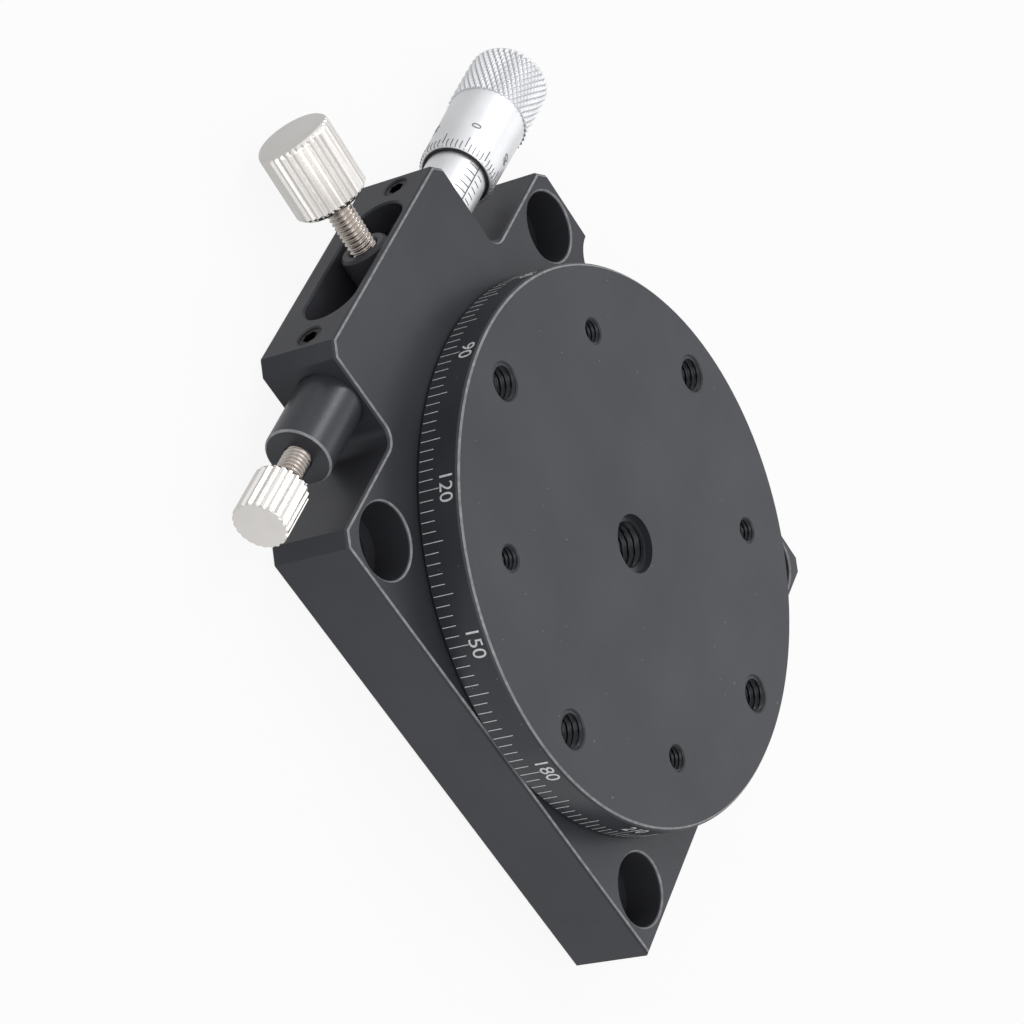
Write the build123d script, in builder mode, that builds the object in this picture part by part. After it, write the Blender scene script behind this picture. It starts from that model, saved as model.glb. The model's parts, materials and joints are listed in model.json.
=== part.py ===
from build123d import *
from math import cos, radians, sin, sqrt, tan
import os

# Manual rotation stage with a tangent arm fine drive. Millimetres, +Z up.
# The origin is on the table's axis, at the underside of the base plate.
# The front is -Y. The micrometer points to -X and the return spring to +X.

# Table
table_diameter = 60.0
table_thickness = 4.9
table_gap = 0.3
table_turn = 5.8
table_rim_chamfer = 0.35
small_hole_inset = 7.375
small_hole_diameter = 2.7
small_hole_chamfer = 0.15
large_hole_land = 2.5
large_hole_diameter = 4.0
large_hole_chamfer = 0.15
table_hole_count = 4
centre_thread_diameter = 5.3
centre_step_width = 0.5
centre_step_depth = 0.8

# Base plate with the block that holds the fine drive
base_inset = 0.2
base_top_chamfer = 0.35
base_underside_chamfer = 0.2
corner_chamfer = 1.35
block_width = 30.7
front_wall = 2.45
neck_radius = 1.7
base_hole_land = 0.35
base_hole_rows = 2
base_hole_diameter = 4.5
counterbore_diameter = 7.7
counterbore_depth = 4.5
counterbore_chamfer = 0.25
side_relief_radius = 3.5
side_relief_offset = 8.75
floor_thickness = 2.5

# Fine drive: the arm swings in an oval slot in the block's front face
grip_clearance = 1.55
block_wall = 6.0
slot_height = 6.3
slot_roof = 0.9
slot_edge_chamfer = 0.2
arm_rest_angle = -3.2
rod_diameter = 5.3
rod_recess = 0.2
rod_end_chamfer = 0.3
rod_spigot_diameter = 4.3

# Hub, clamp ring and ball race
hub_wall = 4.0
clamp_ring_wall = 4.0
clamp_ring_height = 5.0
clamp_ring_floor_gap = 0.45
pocket_clearance = 0.7
race_bore = 17.0
race_width = 5.0
race_wall = 1.4
race_gap = 1.7
race_relief = 0.3
ball_diameter = 2.4
ball_count = 8
cage_wall = 0.6
cage_height = 3.0
retainer_height = 0.7
retainer_wall = 1.1
pivot_flange_land = 4.9
pivot_flange_thickness = 1.2
pivot_shoulder_width = 1.1
pivot_aperture = 11.0
hub_aperture = 12.0

# Clamp screw
screw_diameter = 2.9
pad_diameter = 3.5
pad_length = 0.8
pad_stub_diameter = 1.4
pad_stub_length = 1.0
clamp_knob_diameter = 8.0
clamp_knob_length = 8.3
clamp_knob_standoff = 5.5
clamp_knob_end_radius = 0.8
clamp_knob_chamfer = 0.5
clamp_knob_flutes = 34
flute_depth = 0.28

# Micrometer
sleeve_diameter = 6.7
sleeve_length = 19.45
nut_clearance = 0.1
nut_depth = 7.75
micrometer_reading = 6.1
thimble_gap = 0.325
thimble_lip = 0.175
thimble_bevel = 0.25
thimble_taper = 0.2
thimble_length = 9.9
grip_step = 0.25
grip_length = 7.7
grip_edge_radius = 0.7
grip_cavity_depth = 3.3
spindle_diameter = 3.5
spindle_thread_step = 0.35
spindle_thread_length = 11.8
spindle_root_diameter = 2.6
spindle_root_length = 2.7
tip_diameter = 2.8
tip_length = 1.5
tip_dome_radius = 2.0
tip_stem_diameter = 1.6
tip_stem_length = 1.9

# Return spring housing with its plunger and lock screw
housing_diameter = 6.9
housing_reach = 8.4
housing_edge_chamfer = 0.2
housing_bore = 5.2
housing_front_wall = 0.7
housing_end_wall = 1.3
plunger_nose_diameter = 2.8
plunger_head_inset = 1.65
plunger_head_thickness = 0.8
spring_wire_diameter = 0.35
spring_diameter = 4.2
spring_turns = 5
spring_wire_sides = 6
seat_clearance = 0.15
seat_thickness = 0.6
seat_gap = 0.65
seat_stub_diameter = 1.4
seat_stub_length = 1.0
lock_knob_diameter = 5.7
lock_knob_length = 5.9
lock_knob_standoff = 3.95
lock_knob_end_radius = 0.3
lock_knob_chamfer = 0.35
lock_knob_flutes = 22

# Screws
set_screw_diameter = 2.7
set_screw_inset = 2.75
set_screw_recess = 0.2
set_screw_socket = 1.5
set_screw_socket_depth = 1.1
set_screw_edge_chamfer = 0.15
hub_screw_diameter = 1.6
hub_screw_head_diameter = 3.0
hub_screw_head_height = 1.6
hub_screw_engagement = 3.3
hub_screw_recess = 0.15
pivot_screw_diameter = 2.0
pivot_screw_head_diameter = 3.5
pivot_screw_inset = 2.5
countersink_angle = 90.0
fastener_count = 4

# Clearances
running_fit = 0.05
seat_fit = 0.02
contact_gap = 0.06
hub_floor_gap = 0.3
web_gap = 0.3
slot_end_gap = 0.2
blind_end = 0.2

# Hole circles and rows, set in from the edges that they stand beside
large_hole_inset = large_hole_diameter / 2 + large_hole_chamfer + table_rim_chamfer + large_hole_land
large_hole_circle = table_diameter - 2 * large_hole_inset
small_hole_circle = table_diameter - 2 * small_hole_inset
centre_step_diameter = centre_thread_diameter + 2 * centre_step_width
base_width = table_diameter - 2 * base_inset
base_hole_inset = counterbore_diameter / 2 + counterbore_chamfer + base_top_chamfer + base_hole_land
base_hole_pitch = base_width - 2 * base_hole_inset
side_relief_pitch = base_hole_pitch - 2 * side_relief_offset

# Race, hub and pivot, built outwards from the race's bore
race_outer_diameter = race_bore + 2 * (2 * race_wall + race_gap)
hub_diameter = race_outer_diameter + 2 * hub_wall
pivot_shoulder_diameter = race_bore + 2 * pivot_shoulder_width
pivot_flange_diameter = pivot_shoulder_diameter + 2 * pivot_flange_land
pivot_screw_circle = pivot_shoulder_diameter + 2 * pivot_screw_inset

# Micrometer, built outwards from its spindle and its sleeve
spindle_thread_diameter = spindle_diameter + 2 * spindle_thread_step
nut_bore = spindle_thread_diameter + 2 * nut_clearance
thimble_bore = sleeve_diameter + 2 * thimble_gap
thimble_mouth_diameter = thimble_bore + 2 * thimble_lip
thimble_rear_diameter = thimble_mouth_diameter + 2 * (thimble_bevel + thimble_taper)
grip_diameter = thimble_rear_diameter + 2 * grip_step

# Spring seat and plunger, which slide in the housing
seat_diameter = housing_bore - 2 * seat_clearance
plunger_dome_radius = plunger_nose_diameter / 2

# Fine drive: clear of the base's front edge, with the block's front wall before it
mechanism_reach = base_width / 2 + grip_diameter / 2 + grip_clearance
front_reach = mechanism_reach + housing_diameter / 2 + front_wall
slot_length = block_width - 2 * block_wall
clamp_knob_start = front_reach + clamp_knob_standoff

# Heights
mechanism_height = floor_thickness + clamp_ring_floor_gap + clamp_ring_height / 2
base_thickness = mechanism_height + slot_height / 2 + slot_roof
table_underside = base_thickness + table_gap
table_top = table_underside + table_thickness
small_hole_turn = table_turn + 180 / table_hole_count
hub_bottom = floor_thickness + hub_floor_gap
race_bottom = hub_bottom + retainer_height
race_top = race_bottom + race_width
race_middle = (race_bottom + race_top) / 2

# Radii round the table's axis
hub_radius = hub_diameter / 2
clamp_ring_bore_radius = hub_radius + running_fit
clamp_ring_radius = clamp_ring_bore_radius + clamp_ring_wall
pocket_radius = clamp_ring_radius + pocket_clearance
race_radius = race_outer_diameter / 2
race_bore_radius = race_bore / 2
hub_bore_radius = race_radius + seat_fit
ball_circle_radius = (race_radius + race_bore_radius) / 2
hub_screw_radius = (hub_bore_radius + hub_radius) / 2
hub_screw_angle = 45.0
pivot_screw_angle = 45.0

# Places along the mechanism's axis, which runs along X
slot_end = slot_length / 2
set_screw_offset = slot_end + set_screw_inset
block_side = block_width / 2
rod_radius = rod_diameter / 2
arm_lean = radians(arm_rest_angle)
rod_centre = mechanism_reach * tan(arm_lean)


def tangent_offset(dome_radius):
    """How far a domed tip stands from the arm's centre line when it touches the rod."""
    return (dome_radius + rod_radius) / cos(arm_lean) - dome_radius


spindle_tip_x = rod_centre - tangent_offset(tip_dome_radius) - contact_gap
plunger_tip_x = rod_centre + tangent_offset(plunger_dome_radius) + contact_gap
sleeve_front = -(slot_end + slot_end_gap)
sleeve_rear = sleeve_front - sleeve_length
nut_start = sleeve_front - nut_depth
thimble_front = -(block_side + micrometer_reading)
grip_front = thimble_front - thimble_length
grip_rear = grip_front - grip_length
spindle_front = spindle_tip_x - tip_length
cavity_end = grip_front - grip_cavity_depth
housing_front = slot_end + slot_end_gap
housing_rear = block_side + housing_reach
plunger_nose_length = slot_end + plunger_head_inset
plunger_head_front = plunger_tip_x + plunger_nose_length
plunger_head_back = plunger_head_front + plunger_head_thickness
seat_back = housing_rear - housing_end_wall - seat_gap
seat_face = seat_back - seat_thickness
lock_knob_start = housing_rear + lock_knob_standoff

# Distances along the arm's centre line
rod_front = front_reach - rod_recess
rod_start = clamp_ring_radius + web_gap
spigot_start = clamp_ring_radius - clamp_ring_wall / 2
pad_front = hub_radius + contact_gap
pad_back = pad_front + pad_length

# Planes and axes
arm_direction = (sin(arm_lean), -cos(arm_lean), 0)
arm_origin = (0, 0, mechanism_height)
arm_across = (-cos(arm_lean), -sin(arm_lean), 0)
arm_profile = Plane(origin=arm_origin, x_dir=arm_direction, z_dir=arm_across)
arm_section = Plane(origin=arm_origin, x_dir=(0, 0, 1), z_dir=arm_direction)
arm_axis = Axis(arm_origin, arm_direction)
drive_origin = (0, -mechanism_reach, mechanism_height)
drive_profile = Plane(origin=drive_origin, x_dir=(1, 0, 0), z_dir=(0, -1, 0))
drive_section = Plane(origin=drive_origin, x_dir=(0, 1, 0), z_dir=(1, 0, 0))
drive_axis = Axis(drive_origin, (1, 0, 0))
front_face = Plane.XZ.offset(front_reach)

os.makedirs("parts", exist_ok=True)


def save(piece, label):
    """Label a finished piece and write it to its own file."""
    piece.label = label
    export_step(piece, f"parts/{label}.step")


def hole_edges(face, diameter):
    """The edges of the holes of one diameter in a face."""
    rings = face.inner_wires().edges().filter_by(GeomType.CIRCLE)
    return rings.filter_by(lambda edge: abs(edge.radius - diameter / 2) < seat_fit)


def fluted_knob(section, diameter, length, flutes, end_radius, inner_chamfer):
    """A screw's head with V grooves all along, rounded outside and chamfered inside."""
    with BuildPart() as knob:
        with BuildSketch(section):
            Circle(diameter / 2)
        extrude(amount=length)
        rims = knob.faces().filter_by(GeomType.PLANE).sort_by(Axis(section.origin, section.z_dir))
        chamfer(rims[0].edges(), length=inner_chamfer)
        rims = knob.faces().filter_by(GeomType.PLANE).sort_by(Axis(section.origin, section.z_dir))
        fillet(rims[-1].edges(), radius=end_radius)
        with BuildSketch(section):
            with PolarLocations(diameter / 2, flutes):
                RegularPolygon(flute_depth, 4, major_radius=True)
        extrude(amount=length, mode=Mode.SUBTRACT)
    return knob


# Base plate: square plate and block in one piece, pocket and slot open to each other
with BuildPart() as base_plate:
    with BuildSketch():
        Rectangle(base_width, base_width)
        with Locations((0, -front_reach / 2)):
            Rectangle(block_width, front_reach)
    extrude(amount=base_thickness)
    upright = base_plate.edges().filter_by(Axis.Z)
    neck = upright.filter_by(lambda edge: abs(edge.center().X) < block_side + corner_chamfer)
    neck = neck.filter_by(lambda edge: edge.center().Y > -front_reach + corner_chamfer)
    fillet(neck, radius=neck_radius)
    upright = base_plate.edges().filter_by(Axis.Z)
    outer = upright.filter_by(lambda edge: abs(edge.center().X) > block_side + neck_radius + corner_chamfer)
    rear_spring_corner = outer.sort_by(lambda edge: edge.center().X + edge.center().Y)[-1]
    nose = upright.filter_by(lambda edge: edge.center().Y < -front_reach + corner_chamfer)
    chamfer((outer - [rear_spring_corner]) + nose, length=corner_chamfer)
    with BuildSketch():
        with Locations(
            (-base_width / 2, side_relief_pitch / 2),
            (-base_width / 2, -side_relief_pitch / 2),
        ):
            Circle(side_relief_radius)
    extrude(amount=base_thickness, mode=Mode.SUBTRACT)
    chamfer(base_plate.faces().sort_by(Axis.Z)[-1].edges(), length=base_top_chamfer)
    chamfer(base_plate.faces().sort_by(Axis.Z)[0].edges(), length=base_underside_chamfer)
    # Pocket for the hub and the clamp ring, and the seat of the pivot below it
    with BuildSketch(Plane.XY.offset(floor_thickness)):
        Circle(pocket_radius)
    extrude(amount=base_thickness, mode=Mode.SUBTRACT)
    with BuildSketch():
        Circle(pivot_flange_diameter / 2 + running_fit)
    extrude(amount=pivot_flange_thickness, mode=Mode.SUBTRACT)
    with BuildSketch():
        Circle(pivot_shoulder_diameter / 2 + running_fit)
    extrude(amount=floor_thickness, mode=Mode.SUBTRACT)
    with BuildSketch(Plane.XY.offset(pivot_flange_thickness)):
        with PolarLocations(pivot_screw_circle / 2, fastener_count, start_angle=pivot_screw_angle):
            Circle(pivot_screw_diameter / 2 + seat_fit)
    extrude(amount=floor_thickness, mode=Mode.SUBTRACT)
    # Oval slot through the block's front face into the pocket
    with BuildSketch(front_face):
        with Locations((0, mechanism_height)):
            SlotOverall(slot_length, slot_height)
    extrude(amount=-(front_reach - hub_radius), mode=Mode.SUBTRACT)
    slot_mouth = base_plate.faces().sort_by(Axis.Y)[0].inner_wires().edges()
    chamfer(slot_mouth, length=slot_edge_chamfer)
    # Bores for the micrometer's sleeve and for the spring housing
    with BuildSketch(drive_section):
        Circle(sleeve_diameter / 2 + running_fit)
    extrude(amount=-base_width / 2, mode=Mode.SUBTRACT)
    with BuildSketch(drive_section):
        Circle(housing_diameter / 2 + running_fit)
    extrude(amount=base_width / 2, mode=Mode.SUBTRACT)
    # Tapped holes for the two set screws
    with BuildSketch(front_face):
        with Locations((-set_screw_offset, mechanism_height), (set_screw_offset, mechanism_height)):
            Circle(set_screw_diameter / 2)
    extrude(amount=-(front_reach - mechanism_reach), mode=Mode.SUBTRACT)
    front = base_plate.faces().sort_by(Axis.Y)[0]
    chamfer(hole_edges(front, set_screw_diameter), length=set_screw_edge_chamfer)
    # Four counterbored holes for the fixing screws
    with Locations((0, 0, base_thickness)):
        with GridLocations(base_hole_pitch, base_hole_pitch, base_hole_rows, base_hole_rows):
            CounterBoreHole(base_hole_diameter / 2, counterbore_diameter / 2, counterbore_depth)
    top = base_plate.faces().sort_by(Axis.Z)[-1]
    chamfer(hole_edges(top, counterbore_diameter), length=counterbore_chamfer)
save(base_plate.part, "base_plate")

# Pivot: flange let into the underside, shoulder and post that carry the inner race
with BuildPart() as pivot_post:
    with BuildSketch(Plane.XZ):
        Polygon(
            (pivot_aperture / 2, 0),
            (pivot_flange_diameter / 2, 0),
            (pivot_flange_diameter / 2, pivot_flange_thickness),
            (pivot_shoulder_diameter / 2, pivot_flange_thickness),
            (pivot_shoulder_diameter / 2, race_bottom),
            (race_bore_radius - seat_fit, race_bottom),
            (race_bore_radius - seat_fit, race_top - web_gap),
            (pivot_aperture / 2, race_top - web_gap),
            align=None,
        )
    revolve(axis=Axis.Z)
    with Locations(Plane(origin=(0, 0, 0), x_dir=(1, 0, 0), z_dir=(0, 0, -1))):
        with PolarLocations(pivot_screw_circle / 2, fastener_count, start_angle=pivot_screw_angle):
            CounterSinkHole(
                pivot_screw_diameter / 2 + seat_fit,
                pivot_screw_head_diameter / 2 + seat_fit,
                depth=pivot_flange_thickness,
                counter_sink_angle=countersink_angle,
            )
save(pivot_post.part, "pivot_post")

# Flat head screws that hold the pivot to the base plate
for number in range(fastener_count):
    turn = radians(pivot_screw_angle + number * 360 / fastener_count)
    centre = (pivot_screw_circle / 2 * cos(turn), pivot_screw_circle / 2 * sin(turn))
    with BuildPart() as pivot_screw:
        with BuildSketch():
            with Locations(centre):
                Circle(pivot_screw_head_diameter / 2 - running_fit)
        extrude(
            amount=(pivot_screw_head_diameter - pivot_screw_diameter) / 2,
            taper=countersink_angle / 2,
        )
        with BuildSketch():
            with Locations(centre):
                Circle(pivot_screw_diameter / 2 - seat_fit)
        extrude(amount=floor_thickness - blind_end)
    save(pivot_screw.part, f"pivot_screw_{number + 1}")

# Inner race on the pivot's post
with BuildPart() as bearing_inner_race:
    with BuildSketch(Plane.XZ):
        Polygon(
            (race_bore_radius, race_bottom),
            (race_bore_radius + race_wall, race_bottom),
            (race_bore_radius + race_wall, race_top),
            (race_bore_radius, race_top),
            align=None,
        )
        with Locations((ball_circle_radius, race_middle)):
            Circle(ball_diameter / 2 + running_fit, mode=Mode.SUBTRACT)
    revolve(axis=Axis.Z)
save(bearing_inner_race.part, "bearing_inner_race")

# Outer race in the hub
with BuildPart() as bearing_outer_race:
    with BuildSketch(Plane.XZ):
        Polygon(
            (race_radius - race_wall, race_bottom),
            (race_radius, race_bottom),
            (race_radius, race_top),
            (race_radius - race_wall, race_top),
            align=None,
        )
        with Locations((ball_circle_radius, race_middle)):
            Circle(ball_diameter / 2 + running_fit, mode=Mode.SUBTRACT)
    revolve(axis=Axis.Z)
save(bearing_outer_race.part, "bearing_outer_race")

# Ball cage with its balls
with BuildPart() as bearing_cage:
    with BuildSketch(Plane.XY.offset(race_middle - cage_height / 2)):
        Circle(ball_circle_radius + cage_wall / 2)
        Circle(ball_circle_radius - cage_wall / 2, mode=Mode.SUBTRACT)
    extrude(amount=cage_height)
    with Locations((0, 0, race_middle)):
        with PolarLocations(ball_circle_radius, ball_count):
            Sphere(ball_diameter / 2)
save(bearing_cage.part, "bearing_cage")

# Hub under the table: bearing seat inside, clamping surface outside
with BuildPart() as table_hub:
    with BuildSketch(Plane.XZ):
        Polygon(
            (hub_bore_radius, hub_bottom),
            (hub_radius, hub_bottom),
            (hub_radius, table_underside),
            (hub_aperture / 2, table_underside),
            (hub_aperture / 2, race_top + race_relief),
            (race_radius - race_wall, race_top + race_relief),
            (race_radius - race_wall, race_top),
            (hub_bore_radius, race_top),
            align=None,
        )
    revolve(axis=Axis.Z)
    with BuildSketch(Plane.XY.offset(hub_bottom)):
        with PolarLocations(hub_screw_radius, fastener_count, start_angle=hub_screw_angle + table_turn):
            Circle(hub_screw_head_diameter / 2 + running_fit)
    extrude(amount=hub_screw_recess + hub_screw_head_height, mode=Mode.SUBTRACT)
    with BuildSketch(Plane.XY.offset(hub_bottom)):
        with PolarLocations(hub_screw_radius, fastener_count, start_angle=hub_screw_angle + table_turn):
            Circle(hub_screw_diameter / 2 + running_fit)
    extrude(amount=table_underside - hub_bottom, mode=Mode.SUBTRACT)
save(table_hub.part, "table_hub")

# Ring that holds the outer race in the hub
with BuildPart() as bearing_retainer:
    with BuildSketch(Plane.XY.offset(hub_bottom)):
        Circle(race_radius)
        Circle(race_radius - retainer_wall, mode=Mode.SUBTRACT)
    extrude(amount=retainer_height)
save(bearing_retainer.part, "bearing_retainer")

# Round table with two hole circles and a stepped centre hole
with BuildPart() as table_plate:
    with BuildSketch(Plane.XY.offset(table_underside)):
        Circle(table_diameter / 2)
    extrude(amount=table_thickness)
    chamfer(table_plate.faces().sort_by(Axis.Z)[-1].edges(), length=table_rim_chamfer)
    with BuildSketch(Plane.XY.offset(table_underside)):
        Circle(centre_thread_diameter / 2)
        with PolarLocations(large_hole_circle / 2, table_hole_count, start_angle=table_turn):
            Circle(large_hole_diameter / 2)
        with PolarLocations(small_hole_circle / 2, table_hole_count, start_angle=small_hole_turn):
            Circle(small_hole_diameter / 2)
    extrude(amount=table_thickness, mode=Mode.SUBTRACT)
    top = table_plate.faces().sort_by(Axis.Z)[-1]
    chamfer(hole_edges(top, large_hole_diameter), length=large_hole_chamfer)
    top = table_plate.faces().sort_by(Axis.Z)[-1]
    chamfer(hole_edges(top, small_hole_diameter), length=small_hole_chamfer)
    with BuildSketch(Plane.XY.offset(table_top)):
        Circle(centre_step_diameter / 2)
    extrude(amount=-centre_step_depth, mode=Mode.SUBTRACT)
    with BuildSketch(Plane.XY.offset(table_underside)):
        with PolarLocations(hub_screw_radius, fastener_count, start_angle=hub_screw_angle + table_turn):
            Circle(hub_screw_diameter / 2 + seat_fit)
    extrude(amount=hub_screw_engagement + blind_end, mode=Mode.SUBTRACT)
save(table_plate.part, "table_plate")

# Socket head screws that hold the hub to the table
for number in range(fastener_count):
    turn = radians(hub_screw_angle + table_turn + number * 360 / fastener_count)
    centre = (hub_screw_radius * cos(turn), hub_screw_radius * sin(turn))
    with BuildPart() as hub_screw:
        with BuildSketch(Plane.XY.offset(hub_bottom + hub_screw_recess)):
            with Locations(centre):
                Circle(hub_screw_head_diameter / 2)
        extrude(amount=hub_screw_head_height)
        with BuildSketch(Plane.XY.offset(hub_bottom + hub_screw_recess)):
            with Locations(centre):
                Circle(hub_screw_diameter / 2)
        extrude(amount=table_underside + hub_screw_engagement - hub_bottom - hub_screw_recess)
    save(hub_screw.part, f"hub_screw_{number + 1}")

# Clamp ring round the hub, with the rod's seat and the pad's hole in one line
with BuildPart() as clamp_ring:
    with BuildSketch(Plane.XY.offset(mechanism_height - clamp_ring_height / 2)):
        Circle(clamp_ring_radius)
        Circle(clamp_ring_bore_radius, mode=Mode.SUBTRACT)
    extrude(amount=clamp_ring_height)
    with BuildSketch(arm_section):
        Circle(pad_diameter / 2 + running_fit)
    extrude(amount=clamp_ring_radius, mode=Mode.SUBTRACT)
    with BuildSketch(arm_section.offset(spigot_start)):
        Circle(rod_spigot_diameter / 2 + seat_fit)
    extrude(amount=clamp_ring_radius, mode=Mode.SUBTRACT)
save(clamp_ring.part, "clamp_ring")

# Arm: a round rod in the clamp ring, bored for the clamp screw
with BuildPart() as arm_rod:
    with BuildSketch(arm_profile):
        Polygon(
            (spigot_start, screw_diameter / 2 + running_fit),
            (spigot_start, rod_spigot_diameter / 2),
            (rod_start, rod_spigot_diameter / 2),
            (rod_start, rod_radius),
            (rod_front - rod_end_chamfer, rod_radius),
            (rod_front, rod_radius - rod_end_chamfer),
            (rod_front, screw_diameter / 2 + rod_end_chamfer),
            (rod_front - rod_end_chamfer, screw_diameter / 2 + running_fit),
            align=None,
        )
    revolve(axis=arm_axis)
save(arm_rod.part, "arm_rod")

# Brass pad that the clamp screw pushes against the hub
with BuildPart() as clamp_pad:
    with BuildSketch(arm_section.offset(hub_radius - pad_length)):
        Circle(pad_diameter / 2)
    extrude(amount=pad_back - hub_radius + pad_length)
    with BuildSketch():
        Circle(pad_front)
    extrude(amount=base_thickness, mode=Mode.SUBTRACT)
    with BuildSketch(arm_section.offset(pad_back)):
        Circle(pad_stub_diameter / 2)
    extrude(amount=pad_stub_length)
save(clamp_pad.part, "clamp_pad")

# Clamp screw's threaded shank
with BuildPart() as clamp_shank:
    with BuildSketch(arm_section.offset(pad_back + contact_gap)):
        Circle(screw_diameter / 2)
    extrude(amount=clamp_knob_start - pad_back - contact_gap)
    with BuildSketch(arm_section.offset(pad_back + contact_gap)):
        Circle(pad_stub_diameter / 2 + running_fit)
    extrude(amount=pad_stub_length, mode=Mode.SUBTRACT)
save(clamp_shank.part, "clamp_shank")

# Clamp screw's fluted head
clamp_knob = fluted_knob(
    arm_section.offset(clamp_knob_start),
    clamp_knob_diameter,
    clamp_knob_length,
    clamp_knob_flutes,
    clamp_knob_end_radius,
    clamp_knob_chamfer,
)
save(clamp_knob.part, "clamp_knob")

# Micrometer sleeve, held in the block by its set screw
with BuildPart() as micrometer_sleeve:
    with BuildSketch(drive_profile):
        Polygon(
            (sleeve_front, spindle_diameter / 2 + running_fit),
            (sleeve_front, sleeve_diameter / 2),
            (sleeve_rear, sleeve_diameter / 2),
            (sleeve_rear, nut_bore / 2),
            (nut_start, nut_bore / 2),
            (nut_start, spindle_diameter / 2 + running_fit),
            align=None,
        )
    revolve(axis=drive_axis)
save(micrometer_sleeve.part, "micrometer_sleeve")

# Spindle with its thread inside the sleeve and its root in the grip
with BuildPart() as micrometer_spindle:
    with BuildSketch(drive_profile):
        Polygon(
            (spindle_front, tip_stem_diameter / 2 + running_fit),
            (spindle_front, spindle_diameter / 2),
            (cavity_end + spindle_thread_length, spindle_diameter / 2),
            (cavity_end + spindle_thread_length, spindle_thread_diameter / 2),
            (cavity_end, spindle_thread_diameter / 2),
            (cavity_end, spindle_root_diameter / 2),
            (cavity_end - spindle_root_length, spindle_root_diameter / 2),
            (cavity_end - spindle_root_length, 0),
            (spindle_front - tip_stem_length - blind_end, 0),
            (spindle_front - tip_stem_length - blind_end, tip_stem_diameter / 2 + running_fit),
            align=None,
        )
    revolve(axis=drive_axis)
save(micrometer_spindle.part, "micrometer_spindle")

# Domed tip that touches the arm
dome_height = tip_dome_radius - sqrt(tip_dome_radius**2 - (tip_diameter / 2) ** 2)
with BuildPart() as spindle_tip:
    with BuildSketch(drive_profile):
        with BuildLine():
            rim = (spindle_tip_x - dome_height, tip_diameter / 2)
            apex = (spindle_tip_x, 0)
            stem_end = spindle_front - tip_stem_length
            RadiusArc(rim, apex, tip_dome_radius)
            Polyline(
                apex,
                (stem_end, 0),
                (stem_end, tip_stem_diameter / 2),
                (spindle_front + seat_fit, tip_stem_diameter / 2),
                (spindle_front + seat_fit, tip_diameter / 2),
                rim,
            )
        make_face()
    revolve(axis=drive_axis)
save(spindle_tip.part, "spindle_tip")

# Graduated thimble: a tapered shell over the sleeve
with BuildPart() as micrometer_thimble:
    with BuildSketch(drive_profile):
        Polygon(
            (thimble_front, thimble_bore / 2),
            (thimble_front, thimble_mouth_diameter / 2),
            (thimble_front - thimble_bevel, thimble_mouth_diameter / 2 + thimble_bevel),
            (grip_front, thimble_rear_diameter / 2),
            (grip_front, thimble_bore / 2),
            align=None,
        )
    revolve(axis=drive_axis)
save(micrometer_thimble.part, "micrometer_thimble")

# Grip at the thimble's end, hollow over the sleeve's rear
with BuildPart() as thimble_grip:
    with BuildSketch(drive_profile):
        Polygon(
            (grip_front, thimble_bore / 2),
            (grip_front, grip_diameter / 2),
            (grip_rear, grip_diameter / 2),
            (grip_rear, 0),
            (cavity_end - spindle_root_length - blind_end, 0),
            (cavity_end - spindle_root_length - blind_end, spindle_root_diameter / 2 + seat_fit),
            (cavity_end, spindle_root_diameter / 2 + seat_fit),
            (cavity_end, thimble_bore / 2),
            align=None,
        )
    revolve(axis=drive_axis)
    fillet(thimble_grip.faces().sort_by(Axis.X)[0].edges(), radius=grip_edge_radius)
save(thimble_grip.part, "thimble_grip")

# Housing of the return spring, held in the block by its set screw
with BuildPart() as spring_housing:
    with BuildSketch(drive_profile):
        Polygon(
            (housing_front, plunger_nose_diameter / 2 + running_fit),
            (housing_front, housing_diameter / 2),
            (housing_rear - housing_edge_chamfer, housing_diameter / 2),
            (housing_rear, housing_diameter / 2 - housing_edge_chamfer),
            (housing_rear, screw_diameter / 2 + running_fit),
            (housing_rear - housing_end_wall, screw_diameter / 2 + running_fit),
            (housing_rear - housing_end_wall, housing_bore / 2),
            (housing_front + housing_front_wall, housing_bore / 2),
            (housing_front + housing_front_wall, plunger_nose_diameter / 2 + running_fit),
            align=None,
        )
    revolve(axis=drive_axis)
save(spring_housing.part, "spring_housing")

# Plunger that holds the arm against the spindle
with BuildPart() as plunger:
    with BuildSketch(drive_profile):
        with BuildLine():
            nose_rim = (plunger_tip_x + plunger_dome_radius, plunger_nose_diameter / 2)
            nose_apex = (plunger_tip_x, 0)
            RadiusArc(nose_apex, nose_rim, plunger_dome_radius)
            Polyline(
                nose_rim,
                (plunger_head_front, plunger_nose_diameter / 2),
                (plunger_head_front, housing_bore / 2 - running_fit),
                (plunger_head_back, housing_bore / 2 - running_fit),
                (plunger_head_back, 0),
                nose_apex,
            )
        make_face()
    revolve(axis=drive_axis)
save(plunger.part, "plunger")

# Coil spring between the plunger's head and the seat
spring_length = seat_face - plunger_head_back - spring_wire_diameter - 2 * contact_gap
spring_start = plunger_head_back + spring_wire_diameter / 2 + contact_gap
with BuildPart() as return_spring:
    with BuildLine():
        coil = Helix(
            spring_length / spring_turns,
            spring_length,
            spring_diameter / 2,
            center=(spring_start, -mechanism_reach, mechanism_height),
            direction=(1, 0, 0),
        )
    with BuildSketch(Plane(origin=coil @ 0, z_dir=coil % 0)):
        RegularPolygon(spring_wire_diameter / 2, spring_wire_sides)
    sweep(is_frenet=True)
save(return_spring.part, "return_spring")

# Spring seat on the lock screw's end
with BuildPart() as lock_seat:
    with BuildSketch(drive_section.offset(seat_face)):
        Circle(seat_diameter / 2)
    extrude(amount=seat_thickness)
    with BuildSketch(drive_section.offset(seat_back)):
        Circle(seat_stub_diameter / 2)
    extrude(amount=seat_stub_length)
save(lock_seat.part, "lock_seat")

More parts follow.
